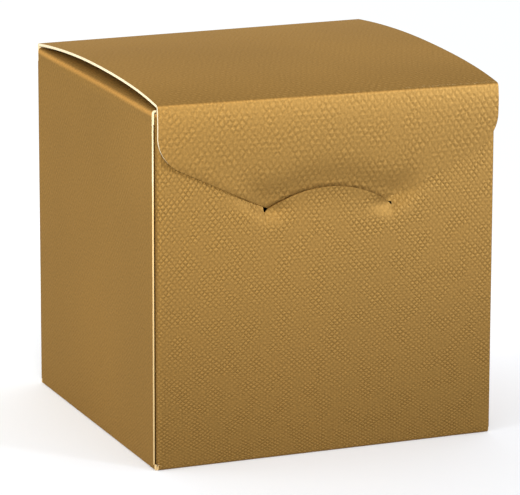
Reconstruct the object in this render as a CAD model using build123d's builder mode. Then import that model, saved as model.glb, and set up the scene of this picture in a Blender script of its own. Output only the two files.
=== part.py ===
import os
from math import atan, cos, degrees, radians, sin, sqrt, tan

from build123d import *

# A favor box folded from one blank of gold embossed board, in millimetres.
# Origin on the floor under the middle of the box, X to the right, front wall at -Y, Z up.
# Every panel that bends at a crease ends there in a round edge, centred on the crease.

# Walls
box_width = 80.0
box_depth = 75.0
box_height = 80.0  # floor to the top fold of a side wall
board = 0.5
fold_radius = 0.45  # outside of a standing corner fold
front_top_drop = 0.3  # raw top edge of the front wall below the side folds
glue_flap_width = 14.0
glue_flap_end = 4.0  # from the glue flap's ends to the top and the floor
glue_flap_taper = 20.0  # degrees
glue_film = 0.06
glue_margin = 2.5  # bare border round the glue

# Clearances
crease_gap = 0.1  # round a crease that bends
seam_gap = 0.15  # groove at the front left corner
slit_gap = 0.15  # round the half-moon cut
tuck_gap = 0.15  # between a tucked panel and what it lies beside

# Lid
lid_rise = 0.45  # rear crease above the side folds
lid_front_rise = 0.8  # front crease above the side folds
lid_overhang = 1.9  # front crease ahead of the front wall
lid_bow = 2.2
lid_inset = 0.25  # cut side edge inside the side wall

# Closing flap
flap_inset = 0.25
flap_bulge = 2.3  # furthest stand-off from the front wall
flap_bulge_drop = 6.0  # from the lid's front crease to that point
flap_settle_drop = 17.0  # from the side folds to where the flap lies on the wall
flap_rest_gap = 0.3  # air behind the flap there
flap_shoulder_drop = 12.1  # from the side folds to the corner at the flap's side
flap_slant = 25.0  # degrees
flap_corner_radius = 8.8
flap_lip_gap = 0.4  # between the flap and the half-moon cut
flap_follow = 0.15  # turn of the flap for each degree of lid

# Half-moon cut, with its tab and the tongue that goes behind it
slit_drop = 25.0  # from the side folds to the chord of the cut
slit_half_chord = 15.0
slit_rise = 5.2
tab_lean = 17.0  # degrees
tongue_width = 12.0
tongue_reach = 2.5  # below the chord of the cut
tongue_bend_radius = 2.0
tongue_corner_radius = 3.0

# Dust flaps under the lid
dust_length = 32.0
dust_droop = 7.0  # degrees
dust_end_gap = 2.5  # from the front and rear walls
dust_hinge_taper = 45.0  # degrees, on the side of the lid's crease
dust_free_taper = 10.0  # degrees
dust_corner_radius = 4.0

# Bottom
bottom_inset = 0.4
bottom_tuck_height = 13.0
bottom_tuck_lean = 12.0  # degrees
bottom_tuck_inset = 1.3
bottom_tuck_radius = 8.0
bottom_dust_length = 30.0
bottom_dust_rise = 3.0  # degrees
bottom_dust_rear_gap = 4.0  # clear of the tucked flap

# Derived places
half_width = box_width / 2
half_depth = box_depth / 2
half_board = board / 2
crease_reach = half_board + crease_gap  # from a crease to the edge of the next panel
inside_front = -half_depth + board
inside_rear = half_depth - board
inside_left = -half_width + board

lid_crease_y = half_depth - half_board
lid_crease_z = box_height + lid_rise
flap_crease_y = -half_depth - lid_overhang
flap_crease_z = box_height + lid_front_rise
side_crease_x = half_width - half_board
side_crease_z = box_height - half_board
bottom_crease_y = -half_depth + half_board
bottom_crease_z = half_board
bottom_tuck_y = inside_rear - tuck_gap - half_board
bottom_dust_z = board + tuck_gap + half_board

slit_z = box_height - slit_drop
slit_radius = (slit_half_chord**2 + slit_rise**2) / (2 * slit_rise)
slit_centre_z = slit_z + slit_rise - slit_radius
tab_radius = slit_radius - slit_gap
tab_crease_half = sqrt(slit_radius**2 - (slit_radius - slit_rise + half_board + slit_gap) ** 2)
tab_crease_y = -half_depth + half_board

side_top = side_crease_z - crease_reach
side_bottom = bottom_dust_z + crease_reach
front_top = box_height - front_top_drop
front_bottom = bottom_crease_z + crease_reach
back_top = lid_crease_z - crease_reach


def crease_plane(origin, along, away):
    """Plane on a crease: its x runs along the crease and its y runs into the panel."""
    return Plane(origin=origin, x_dir=along, z_dir=Vector(along).cross(Vector(away)))


def round_edge(start, end):
    """Round edge of the panel being built, along its crease from start to end."""
    run = Vector(end) - Vector(start)
    with Locations(Plane(origin=start, z_dir=run)):
        Cylinder(half_board, run.length, align=(Align.CENTER, Align.CENTER, Align.MIN))


os.makedirs("parts", exist_ok=True)

# Front wall, with the half-moon hole that its tab leaves
with BuildPart() as front_panel:
    with BuildSketch(Plane.XZ.offset(half_depth)):
        with BuildLine():
            Polyline(
                (inside_left + seam_gap, front_bottom),
                (half_width, front_bottom),
                (half_width, front_top),
                (inside_left + seam_gap, front_top),
                close=True,
            )
        make_face()
    extrude(amount=-board)
    standing_edges = front_panel.faces().sort_by(Axis.Y)[0].edges().filter_by(Axis.Z)
    fillet(standing_edges, fold_radius)
    hole_low = slit_z - crease_reach
    with BuildSketch(Plane.XZ.offset(half_depth)) as half_moon_hole:
        with Locations((0, slit_centre_z)):
            Circle(slit_radius)
        with Locations((0, hole_low + slit_radius)):
            Rectangle(2 * slit_half_chord, 2 * slit_radius, mode=Mode.INTERSECT)
    extrude(half_moon_hole.sketch, amount=-board, mode=Mode.SUBTRACT)
front_panel.part.label = "front_panel"
export_step(front_panel.part, "parts/front_panel.step")

# Left wall, whose raw front edge shows at the glued corner
with BuildPart() as left_panel:
    with BuildSketch(Plane.YZ.offset(-half_width)):
        with BuildLine():
            Polyline(
                (-half_depth, side_bottom),
                (inside_rear, side_bottom),
                (inside_rear, side_top),
                (-half_depth, side_top),
                close=True,
            )
        make_face()
    extrude(amount=board)
left_panel.part.label = "left_panel"
export_step(left_panel.part, "parts/left_panel.step")

# Right wall, between the front and back walls
with BuildPart() as right_panel:
    with BuildSketch(Plane.YZ.offset(half_width)):
        with BuildLine():
            Polyline(
                (inside_front, side_bottom),
                (inside_rear, side_bottom),
                (inside_rear, side_top),
                (inside_front, side_top),
                close=True,
            )
        make_face()
    extrude(amount=-board)
right_panel.part.label = "right_panel"
export_step(right_panel.part, "parts/right_panel.step")

# Back wall, which stands on the floor and carries the lid
with BuildPart() as back_panel:
    with BuildSketch(Plane.XZ.offset(-half_depth)):
        Rectangle(box_width, back_top, align=(Align.CENTER, Align.MIN))
    extrude(amount=board)
    standing_edges = back_panel.faces().sort_by(Axis.Y)[-1].edges().filter_by(Axis.Z)
    fillet(standing_edges, fold_radius)
back_panel.part.label = "back_panel"
export_step(back_panel.part, "parts/back_panel.step")

# Glue flap folded from the front wall, inside the left wall
glue_flap_low = glue_flap_end
glue_flap_high = box_height - glue_flap_end
glue_flap_slope = glue_flap_width * tan(radians(glue_flap_taper))
glue_flap_face = inside_left + glue_film
with BuildPart() as glue_flap:
    with BuildSketch(Plane.YZ.offset(glue_flap_face)):
        with BuildLine():
            Polyline(
                (inside_front, glue_flap_low),
                (inside_front + glue_flap_width, glue_flap_low + glue_flap_slope),
                (inside_front + glue_flap_width, glue_flap_high - glue_flap_slope),
                (inside_front, glue_flap_high),
                close=True,
            )
        make_face()
    extrude(amount=board)
glue_flap.part.label = "glue_flap"
export_step(glue_flap.part, "parts/glue_flap.step")

# Film of glue between that flap and the left wall
with BuildPart() as seam_glue:
    with BuildSketch(Plane.YZ.offset(inside_left)):
        with BuildLine():
            Polyline(
                (inside_front + glue_margin, glue_flap_low + glue_flap_slope),
                (inside_front + glue_flap_width - glue_margin, glue_flap_low + glue_flap_slope),
                (inside_front + glue_flap_width - glue_margin, glue_flap_high - glue_flap_slope),
                (inside_front + glue_margin, glue_flap_high - glue_flap_slope),
                close=True,
            )
        make_face()
    extrude(amount=glue_film)
seam_glue.part.label = "seam_glue"
export_step(seam_glue.part, "parts/seam_glue.step")

# Half-moon tab, pushed out by the tongue behind it
lean_up = (0, -sin(radians(tab_lean)), cos(radians(tab_lean)))
tab_plane = crease_plane((0, tab_crease_y, slit_z), (1, 0, 0), lean_up)
with BuildPart() as half_moon_tab:
    with BuildSketch(tab_plane):
        with Locations((0, slit_centre_z - slit_z)):
            Circle(tab_radius)
        Rectangle(2 * tab_radius, 2 * tab_radius, align=(Align.CENTER, Align.MIN), mode=Mode.INTERSECT)
    extrude(amount=half_board, both=True)
    round_edge((-tab_crease_half, tab_crease_y, slit_z), (tab_crease_half, tab_crease_y, slit_z))
half_moon_tab.part.label = "half_moon_tab"
export_step(half_moon_tab.part, "parts/half_moon_tab.step")

# Lid, bowed upward between its rear crease and its front crease
lid_half_width = half_width - lid_inset
lid_middle = ((lid_crease_y + flap_crease_y) / 2, (lid_crease_z + flap_crease_z) / 2 + lid_bow)
with BuildPart() as lid_panel:
    with BuildSketch(Plane.YZ):
        with BuildLine():
            ThreePointArc((lid_crease_y, lid_crease_z), lid_middle, (flap_crease_y, flap_crease_z))
            offset(amount=half_board, side=Side.BOTH, mode=Mode.REPLACE)
        make_face()
    extrude(amount=lid_half_width, both=True)
    with BuildSketch(Plane.YZ):
        with Locations((flap_crease_y, flap_crease_z)):
            Circle(crease_reach)
    extrude(amount=lid_half_width, both=True, mode=Mode.SUBTRACT)
lid_panel.part.label = "lid_panel"
export_step(lid_panel.part, "parts/lid_panel.step")

# Closing flap: bulges away from the wall, lies on it lower down, and ends in the tongue
flap_half_width = half_width - flap_inset
flap_rest_y = -half_depth - flap_rest_gap - half_board
flap_bulge_point = (-half_depth - flap_bulge, flap_crease_z - flap_bulge_drop)
flap_settle_point = (flap_rest_y, box_height - flap_settle_drop)
flap_turn_point = (
    (flap_bulge_point[0] + flap_settle_point[0]) / 2,
    (flap_bulge_point[1] + flap_settle_point[1]) / 2,
)
flap_shoulder_z = box_height - flap_shoulder_drop
flap_point_z = flap_shoulder_z - flap_half_width * tan(radians(flap_slant))

# The tongue leans the way its middle moves as the lid lifts, so that it slides out of the slit
tongue_cross_z = slit_z + slit_rise / 2
tongue_tip_z = slit_z - tongue_reach
tongue_middle_z = (tongue_cross_z + tongue_tip_z) / 2
tongue_slope = (1 + flap_follow) * (lid_crease_z - tongue_middle_z) / (lid_crease_y - tab_crease_y)
tongue_top_z = tongue_cross_z + (tab_crease_y - flap_rest_y) / tongue_slope
tongue_tip_y = tab_crease_y + (tongue_cross_z - tongue_tip_z) * tongue_slope

with BuildPart() as closing_flap:
    with BuildSketch(Plane.YZ) as flap_section:
        with BuildLine():
            TangentArc(flap_bulge_point, (flap_crease_y, flap_crease_z), tangent=(0, 1))
            TangentArc(flap_bulge_point, flap_turn_point, tangent=(0, -1))
            TangentArc(flap_settle_point, flap_turn_point, tangent=(0, 1))
            Line(flap_settle_point, (flap_rest_y, tongue_tip_z))
            offset(amount=half_board, side=Side.BOTH, mode=Mode.REPLACE)
        make_face()
    extrude(flap_section.sketch, amount=flap_half_width, both=True)
    with BuildSketch(Plane.XZ) as flap_outline:
        with BuildLine():
            Polyline(
                (-flap_half_width, flap_crease_z + board),
                (flap_half_width, flap_crease_z + board),
                (flap_half_width, flap_shoulder_z),
                (0, flap_point_z),
                (-flap_half_width, flap_shoulder_z),
                close=True,
            )
        make_face()
        shoulders = flap_outline.vertices().sort_by(Axis.Y)[1:3]
        fillet(shoulders, flap_corner_radius)
        with Locations((0, slit_centre_z)):
            Circle(slit_radius + flap_lip_gap, mode=Mode.SUBTRACT)
    extrude(flap_outline.sketch, amount=box_depth, mode=Mode.INTERSECT)
    with BuildSketch(Plane.YZ) as tongue_section:
        with BuildLine() as tongue_line:
            FilletPolyline(
                (flap_rest_y, flap_settle_point[1]),
                (flap_rest_y, tongue_top_z),
                (tongue_tip_y, tongue_tip_z),
                radius=tongue_bend_radius,
            )
        trace(tongue_line.line, line_width=board)
    extrude(tongue_section.sketch, amount=tongue_width / 2, both=True)
    tip_face = closing_flap.faces().sort_by(Axis.Z)[0]
    fillet(tip_face.edges().sort_by(SortBy.LENGTH)[:2], tongue_corner_radius)
closing_flap.part.label = "closing_flap"
export_step(closing_flap.part, "parts/closing_flap.step")

# Dust flaps folded in from the tops of the side walls, drooping under the lid
dust_half_run = half_depth - board - dust_end_gap
droop_in = (cos(radians(dust_droop)), 0, -sin(radians(dust_droop)))
left_dust_plane = crease_plane((-side_crease_x, 0, side_crease_z), (0, 1, 0), droop_in)
with BuildPart() as left_dust_flap:
    with BuildSketch(left_dust_plane) as dust_outline:
        with BuildLine():
            Polyline(
                (-dust_half_run, 0),
                (dust_half_run, 0),
                (dust_half_run - dust_length * tan(radians(dust_hinge_taper)), dust_length),
                (-dust_half_run + dust_length * tan(radians(dust_free_taper)), dust_length),
                close=True,
            )
        make_face()
        fillet(dust_outline.vertices().sort_by(Axis.Y)[-2:], dust_corner_radius)
    extrude(amount=half_board, both=True)
    round_edge(
        (-side_crease_x, -dust_half_run, side_crease_z),
        (-side_crease_x, dust_half_run, side_crease_z),
    )
left_dust_flap.part.label = "left_dust_flap"
export_step(left_dust_flap.part, "parts/left_dust_flap.step")

with BuildPart() as right_dust_flap:
    mirror(left_dust_flap.part, about=Plane.YZ)
right_dust_flap.part.label = "right_dust_flap"
export_step(right_dust_flap.part, "parts/right_dust_flap.step")

# Bottom panel, folded back from the front wall
bottom_half_width = half_width - bottom_inset
with BuildPart() as bottom_panel:
    with BuildSketch(Plane.XY):
        with BuildLine():
            Polyline(
                (-bottom_half_width, bottom_crease_y),
                (bottom_half_width, bottom_crease_y),
                (bottom_half_width, bottom_tuck_y - crease_reach),
                (-bottom_half_width, bottom_tuck_y - crease_reach),
                close=True,
            )
        make_face()
    extrude(amount=board)
    round_edge(
        (-bottom_half_width, bottom_crease_y, bottom_crease_z),
        (bottom_half_width, bottom_crease_y, bottom_crease_z),
    )
bottom_panel.part.label = "bottom_panel"
export_step(bottom_panel.part, "parts/bottom_panel.step")

# Flap of the bottom panel, tucked up inside the back wall
tuck_half_width = half_width - bottom_tuck_inset
tuck_up = (0, -sin(radians(bottom_tuck_lean)), cos(radians(bottom_tuck_lean)))
tuck_plane = crease_plane((0, bottom_tuck_y, bottom_crease_z), (1, 0, 0), tuck_up)
with BuildPart() as bottom_tuck_flap:
    with BuildSketch(tuck_plane) as tuck_outline:
        Rectangle(2 * tuck_half_width, bottom_tuck_height, align=(Align.CENTER, Align.MIN))
        fillet(tuck_outline.vertices().sort_by(Axis.Y)[-2:], bottom_tuck_radius)
    extrude(amount=half_board, both=True)
    round_edge(
        (-tuck_half_width, bottom_tuck_y, bottom_crease_z),
        (tuck_half_width, bottom_tuck_y, bottom_crease_z),
    )
bottom_tuck_flap.part.label = "bottom_tuck_flap"
export_step(bottom_tuck_flap.part, "parts/bottom_tuck_flap.step")

# Dust flaps folded in from the bottoms of the side walls, above the bottom panel
bottom_dust_front = inside_front + dust_end_gap
bottom_dust_rear = inside_rear - bottom_dust_rear_gap
rise_in = (cos(radians(bottom_dust_rise)), 0, sin(radians(bottom_dust_rise)))
bottom_dust_plane = crease_plane((-side_crease_x, 0, bottom_dust_z), (0, 1, 0), rise_in)
with BuildPart() as bottom_left_dust_flap:
    with BuildSketch(bottom_dust_plane) as bottom_dust_outline:
        with BuildLine():
            Polyline(
                (bottom_dust_front, 0),
                (bottom_dust_rear, 0),
                (bottom_dust_rear - bottom_dust_length * tan(radians(dust_free_taper)), bottom_dust_length),
                (bottom_dust_front + bottom_dust_length * tan(radians(dust_hinge_taper)), bottom_dust_length),
                close=True,
            )
        make_face()
        fillet(bottom_dust_outline.vertices().sort_by(Axis.Y)[-2:], dust_corner_radius)
    extrude(amount=half_board, both=True)
    round_edge(
        (-side_crease_x, bottom_dust_front, bottom_dust_z),
        (-side_crease_x, bottom_dust_rear, bottom_dust_z),
    )
bottom_left_dust_flap.part.label = "bottom_left_dust_flap"
export_step(bottom_left_dust_flap.part, "parts/bottom_left_dust_flap.step")

with BuildPart() as bottom_right_dust_flap:
    mirror(bottom_left_dust_flap.part, about=Plane.YZ)
bottom_right_dust_flap.part.label = "bottom_right_dust_flap"
export_step(bottom_right_dust_flap.part, "parts/bottom_right_dust_flap.step")

print("tongue leans", round(degrees(atan(tongue_slope)), 2), "degrees")
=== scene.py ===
import math

import bpy
import numpy as np
from mathutils import Matrix, Vector
from mathutils.geometry import delaunay_2d_cdt


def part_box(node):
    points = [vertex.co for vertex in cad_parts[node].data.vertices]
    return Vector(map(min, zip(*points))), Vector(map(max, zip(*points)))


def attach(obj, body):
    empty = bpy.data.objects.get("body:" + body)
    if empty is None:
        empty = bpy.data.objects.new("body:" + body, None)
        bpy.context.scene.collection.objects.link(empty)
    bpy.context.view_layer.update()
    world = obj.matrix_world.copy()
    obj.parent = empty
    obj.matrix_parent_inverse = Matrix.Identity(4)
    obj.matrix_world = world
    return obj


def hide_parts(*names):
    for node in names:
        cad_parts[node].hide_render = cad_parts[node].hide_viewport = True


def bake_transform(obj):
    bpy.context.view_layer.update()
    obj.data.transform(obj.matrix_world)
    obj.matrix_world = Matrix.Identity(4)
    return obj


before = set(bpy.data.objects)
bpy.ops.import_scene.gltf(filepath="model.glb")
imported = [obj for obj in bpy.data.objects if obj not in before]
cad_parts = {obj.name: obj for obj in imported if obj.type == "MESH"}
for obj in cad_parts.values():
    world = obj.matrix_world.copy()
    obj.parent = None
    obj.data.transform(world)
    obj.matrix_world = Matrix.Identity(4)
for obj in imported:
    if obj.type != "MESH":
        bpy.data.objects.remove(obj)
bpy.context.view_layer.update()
scene = bpy.context.scene
mm = 0.001  # every size below is in millimetres
print("frame loaded,", len(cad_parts), "construction nodes")


def nodeBox(node):
    low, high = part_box(node)
    return np.array(low) / mm, np.array(high) / mm


def linear(hexColour):  # sRGB hex to linear, as sockets want it
    values = [int(hexColour[i:i + 2], 16) / 255 for i in (1, 3, 5)]
    return [v / 12.92 if v <= 0.04045 else ((v + 0.055) / 1.055) ** 2.4 for v in values] + [1.0]


def addNode(tree, kind, inputs=None, **settings):
    # an input is a constant, a socket, or a node that stands for its first output
    node = tree.nodes.new(kind)
    for key, value in settings.items():
        setattr(node, key, value)
    for key, value in (inputs or {}).items():
        if isinstance(value, bpy.types.Node):
            value = value.outputs[0]
        if isinstance(value, bpy.types.NodeSocket):
            tree.links.new(value, node.inputs[key])
        else:
            node.inputs[key].default_value = value
    return node


def addObject(name, data):
    thing = bpy.data.objects.new(name, data)
    scene.collection.objects.link(thing)
    return thing


def limits(source=(0, 1), target=(0, 1)):  # what a range is mapped from and to
    return {"From Min": source[0], "From Max": source[1], "To Min": target[0], "To Max": target[1]}


def newMaterial(name):
    material = bpy.data.materials.new(name)
    material.use_nodes = True
    material.node_tree.nodes.clear()
    return material, material.node_tree


def smooth(value, low, high):
    t = np.clip((value - low) / (high - low), 0, 1)
    return t * t * (3 - 2 * t)


# Materials

goldBoard = {
    "colour": "#977640",
    # groove: colour of the painted shade in the grooves of the embossing
    "groove": "#7E5F2E",
    "edgeTint": "#E7D1BC",  # keeps the shallow reflections golden
    "metallic": 0.92,
    "roughness": (0.61, 0.73),  # over the patches of tone
    "lozengeWidth": 1.27,
    "lozengeHeight": 0.72,  # at the foot of the wall
    "lozengeGrowth": 0.016,  # each row is taller than the one below it by this share
    "lozengeCells": (0.22, 0.4),  # how uneven the cells are, and how far their grooves reach in
    "scale": (1.55, 2.3),  # width and height of the bigger scales on the closing flap
    "scaleCells": (0.38, 0.42),
    "scaleZone": (138.0, 158.0),  # blank height where the lozenges give way to scales
    "noises": {  # size and detail
        "wander": (7.0, 1.0),
        "press": (4.0, 2.0),  # patches pressed deeper or less deep
        "tone": (45.0, 5.0),
        "speckle": (0.5, 2.0),  # painted glints of the foil: lighter and darker flecks in its colour, coarse enough to show
    },
    "rowWander": 0.5,  # how far the rows stray
    "pressSpan": (0.36, 0.64),  # part of the noise that counts
    "pressDepth": (0.4, 1.25),
    "grainMean": 0.38,  # height of the even tone that a shallow patch fades to
    "noiseSpan": (0.3, 0.7),  # where most of a noise lies
    "toneSpread": 0.04,
    "paintedGlints": 0.11,
    "footHeight": 32.0,
    "footGrooveShade": (1.6, 1),  # how much deeper the painted shade in the grooves is at the floor, and from that height up
    "creaseHighlights": ((78.9, 0.9, 0.7), (157.25, 0.4, 0.3)),  # painted highlight along the folds: blank height, half width and share of it
    "creaseHighlightColour": "#D2A157",
}


def makeGoldBoard(name, relief, grooveShadeShare):
    # gold printed paperboard, roller embossed: satin metal look, fine reptile lozenges with painted shade in
    # their grooves;
    # relief and the share of painted groove shade hold a value for the lozenges and one for the scales
    look = goldBoard
    material, tree = newMaterial(name)
    blank = addNode(tree, "ShaderNodeUVMap", uv_map="blank")  # millimetres on the flat blank
    noises = {}
    for key, (size, detail) in look["noises"].items():
        noises[key] = addNode(
            tree, "ShaderNodeTexNoise", {"Vector": blank, "Scale": 1 / size, "Detail": detail},
            noise_dimensions="2D")

    # rows that wander a little and grow upward
    centred = addNode(
        tree, "ShaderNodeVectorMath", {0: noises["wander"].outputs["Color"], 1: (0.5, 0.5, 0.5)},
        operation="SUBTRACT")
    shift = addNode(
        tree, "ShaderNodeVectorMath", {0: centred, "Scale": look["rowWander"]}, operation="SCALE")
    place = addNode(tree, "ShaderNodeVectorMath", {0: blank, 1: shift}, operation="ADD")
    parts = addNode(tree, "ShaderNodeSeparateXYZ", {0: place}).outputs
    upward = addNode(tree, "ShaderNodeMath", {0: parts["Y"]}, operation="ABSOLUTE")
    growth = look["lozengeGrowth"] / look["lozengeHeight"]
    grown = addNode(tree, "ShaderNodeMath", {0: upward, 1: growth, 2: 1.0}, operation="MULTIPLY_ADD")
    row = addNode(tree, "ShaderNodeMath", {0: grown, 1: math.e}, operation="LOGARITHM")
    rows = addNode(tree, "ShaderNodeCombineXYZ", {0: parts["X"], 1: row})

    # domes of the lozenges and of the scales
    heights = []
    for source, width, height, uneven, groove in (
            (rows, look["lozengeWidth"], look["lozengeGrowth"], *look["lozengeCells"]),
            (place, *look["scale"], *look["scaleCells"])):
        turned = addNode(
            tree, "ShaderNodeMapping",
            {"Vector": source, "Rotation": (0, 0, math.radians(45)),
             "Scale": (math.sqrt(2) / width, math.sqrt(2) / height, 1)})
        cells = addNode(
            tree, "ShaderNodeTexVoronoi", {"Vector": turned, "Scale": 1.0, "Randomness": uneven},
            feature="DISTANCE_TO_EDGE", voronoi_dimensions="2D")
        heights.append(addNode(
            tree, "ShaderNodeMapRange", {"Value": cells, **limits((0, groove))},
            interpolation_type="SMOOTHSTEP"))
    along = addNode(tree, "ShaderNodeSeparateXYZ", {0: blank}).outputs["Y"]
    zone = addNode(tree, "ShaderNodeMapRange", {"Value": along, **limits(look["scaleZone"])})
    grain = addNode(tree, "ShaderNodeMix", {"Factor": zone, 2: heights[0], 3: heights[1]})

    # the roller presses some patches deeper than others
    depth = addNode(
        tree, "ShaderNodeMapRange",
        {"Value": noises["press"], **limits(look["pressSpan"], look["pressDepth"])})
    fromMean = addNode(tree, "ShaderNodeMath", {0: grain, 1: look["grainMean"]}, operation="SUBTRACT")
    pressed = addNode(
        tree, "ShaderNodeMath", {0: fromMean, 1: depth, 2: look["grainMean"]}, operation="MULTIPLY_ADD")
    deep = addNode(tree, "ShaderNodeMapRange", {"Value": zone, **limits(target=[r * mm for r in relief])})
    bump = addNode(tree, "ShaderNodeBump", {"Strength": 1.0, "Distance": deep, "Height": pressed})

    # painted shade in the grooves, deepest at the foot of the wall
    dark = addNode(tree, "ShaderNodeMapRange", {"Value": zone, **limits(target=grooveShadeShare)})
    foot = addNode(
        tree, "ShaderNodeMapRange",
        {"Value": upward, **limits((0, look["footHeight"]), look["footGrooveShade"])})
    contrast = addNode(tree, "ShaderNodeMath", {0: dark, 1: foot}, operation="MULTIPLY")
    even = addNode(tree, "ShaderNodeMath", {0: dark, 1: 1 - look["grainMean"]}, operation="MULTIPLY")
    below = addNode(tree, "ShaderNodeMath", {0: look["grainMean"], 1: pressed}, operation="SUBTRACT")
    grooveShade = addNode(tree, "ShaderNodeMath", {0: below, 1: contrast, 2: even}, operation="MULTIPLY_ADD")
    colour = addNode(
        tree, "ShaderNodeMix", {"Factor": grooveShade, 6: linear(look["colour"]), 7: linear(look["groove"])},
        data_type="RGBA").outputs[2]
    # a painted highlight along each fold
    for height, reach, share in look["creaseHighlights"]:
        away = addNode(tree, "ShaderNodeMath", {0: along, 1: height}, operation="SUBTRACT")
        away = addNode(tree, "ShaderNodeMath", {0: away}, operation="ABSOLUTE")
        highlit = addNode(
            tree, "ShaderNodeMapRange", {"Value": away, **limits((0, reach), (share, 0))},
            interpolation_type="SMOOTHSTEP")
        colour = addNode(
            tree, "ShaderNodeMix", {"Factor": highlit, 6: colour, 7: linear(look["creaseHighlightColour"])},
            data_type="RGBA").outputs[2]

    # wide patches of tone, and the foil's glints painted in as lighter and darker flecks
    levels = []
    for noise, spread in (("tone", look["toneSpread"]), ("speckle", look["paintedGlints"])):
        levels.append(addNode(
            tree, "ShaderNodeMapRange",
            {"Value": noises[noise], **limits(look["noiseSpan"], (1 - spread, 1 + spread))}))
    level = addNode(tree, "ShaderNodeMath", dict(enumerate(levels)), operation="MULTIPLY")
    colour = addNode(tree, "ShaderNodeHueSaturation", {"Color": colour, "Value": level})
    sheen = addNode(
        tree, "ShaderNodeMapRange", {"Value": noises["tone"], **limits(target=look["roughness"])})
    shader = addNode(
        tree, "ShaderNodeBsdfPrincipled",
        {"Base Color": colour, "Metallic": look["metallic"], "Roughness": sheen,
         "Specular Tint": linear(look["edgeTint"]), "Normal": bump})
    addNode(tree, "ShaderNodeOutputMaterial", {"Surface": shader})
    return material


def inMillimetres(tree):
    place = addNode(tree, "ShaderNodeTexCoord").outputs["Object"]
    return addNode(tree, "ShaderNodeVectorMath", {0: place, "Scale": 1 / mm}, operation="SCALE")


def finishSurface(tree, look, colour, height):
    bump = addNode(
        tree, "ShaderNodeBump",
        {"Strength": look["bump"], "Distance": look["relief"] * mm, "Height": height})
    shader = addNode(
        tree, "ShaderNodeBsdfPrincipled",
        {"Base Color": colour, "Roughness": look["roughness"], "IOR": look["ior"], "Normal": bump})
    addNode(tree, "ShaderNodeOutputMaterial", {"Surface": shader})


plainBoard = {
    "colour": "#CBBB9C",
    "fleck": "#B3A382",
    "fibre": 1.6,  # length
    "fleckSize": 0.35,
    "fleckReach": 0.45,  # share of a fleck's cell
    "fleckShare": 0.35,
    "relief": 0.02,
    "bump": 0.6,
    "roughness": 0.88,
    "ior": 1.5,
}


def makePlainBoard(name):
    # uncoated back of the board: matt cream with short pulp fibres
    look = plainBoard
    material, tree = newMaterial(name)
    place = inMillimetres(tree)
    fibre = addNode(
        tree, "ShaderNodeTexNoise",
        {"Vector": place, "Scale": 1 / look["fibre"], "Detail": 6.0, "Distortion": 1.2})
    fleck = addNode(tree, "ShaderNodeTexVoronoi", {"Vector": place, "Scale": 1 / look["fleckSize"]})
    spot = addNode(
        tree, "ShaderNodeMapRange",
        {"Value": fleck, **limits((0, look["fleckReach"]), (look["fleckShare"], 0))})
    share = addNode(tree, "ShaderNodeMath", {0: spot, 1: fibre}, operation="MULTIPLY")
    colour = addNode(
        tree, "ShaderNodeMix", {"Factor": share, 6: linear(look["colour"]), 7: linear(look["fleck"])},
        data_type="RGBA").outputs[2]
    finishSurface(tree, look, colour, fibre)
    return material


cutEdge = {
    "colour": "#E6D8B8",
    "ply": "#D3C09A",
    "plyThickness": 0.12,
    "plySpan": (0.15, 0.5),  # part of the noise that counts
    "fibre": 0.4,
    "relief": 0.03,
    "bump": 0.8,
    "lowGoldTint": "#DDBC80",
    "lowGoldTintZone": (57.0, 65.0),  # blank height over which the gold tint fades out
    "lowGoldTintShare": 0.85,
    "roughness": 0.9,
    "ior": 1.5,
}


def makeCutEdge(name):
    # die-cut edge of the board: pale cream pulp, a little darker where the knife crushed it,
    # and tinted gold low on the walls
    look = cutEdge
    material, tree = newMaterial(name)
    place = inMillimetres(tree)
    crush = addNode(
        tree, "ShaderNodeTexNoise", {"Vector": place, "Scale": 1 / look["fibre"], "Detail": 4.0})
    ply = addNode(
        tree, "ShaderNodeTexNoise", {"Vector": place, "Scale": 1 / look["plyThickness"], "Detail": 1.0})
    mixed = addNode(tree, "ShaderNodeMath", {0: crush, 1: ply}, operation="MULTIPLY")
    share = addNode(tree, "ShaderNodeMapRange", {"Value": mixed, **limits(look["plySpan"])})
    colour = addNode(
        tree, "ShaderNodeMix", {"Factor": share, 6: linear(look["colour"]), 7: linear(look["ply"])},
        data_type="RGBA").outputs[2]
    blank = addNode(tree, "ShaderNodeUVMap", uv_map="blank")
    height = addNode(tree, "ShaderNodeSeparateXYZ", {0: blank}).outputs["Y"]
    lowGoldTint = addNode(
        tree, "ShaderNodeMapRange", {"Value": height, **limits(look["lowGoldTintZone"], (look["lowGoldTintShare"], 0))})
    colour = addNode(
        tree, "ShaderNodeMix", {"Factor": lowGoldTint, 6: colour, 7: linear(look["lowGoldTint"])},
        data_type="RGBA").outputs[2]
    finishSurface(tree, look, colour, crush)
    return material


driedGlue = {"colour": "#E8DFC4", "thin": "#CDBE94", "blob": 2.2, "relief": 0.05, "bump": 0.7,
             "roughness": 0.35, "ior": 1.47}


def makeDriedGlue(name):
    # dried white glue: yellowish, half glossy, thicker in blobs
    look = driedGlue
    material, tree = newMaterial(name)
    blob = addNode(
        tree, "ShaderNodeTexNoise",
        {"Vector": inMillimetres(tree), "Scale": 1 / look["blob"], "Detail": 2.0})
    colour = addNode(
        tree, "ShaderNodeMix", {"Factor": blob, 6: linear(look["colour"]), 7: linear(look["thin"])},
        data_type="RGBA").outputs[2]
    finishSurface(tree, look, colour, blob)
    return material


# the two differ in relief and in how much painted shade lies in their grooves
goldFront = makeGoldBoard("goldBoardEmbossed", relief=(0.075, 0.075), grooveShadeShare=(0.74, 0.5))
goldSide = makeGoldBoard("goldBoardEmbossedLightly", relief=(0.04, 0.07), grooveShadeShare=(0.17, 0.5))
plainSide = makePlainBoard("uncoatedBoardBack")
rawEdge = makeCutEdge("dieCutBoardEdge")
glueFilm = makeDriedGlue("driedWhiteGlue")
print("materials made")


# Board: a cut sheet is its printed face, and this tree gives it its thickness and its three finishes

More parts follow.
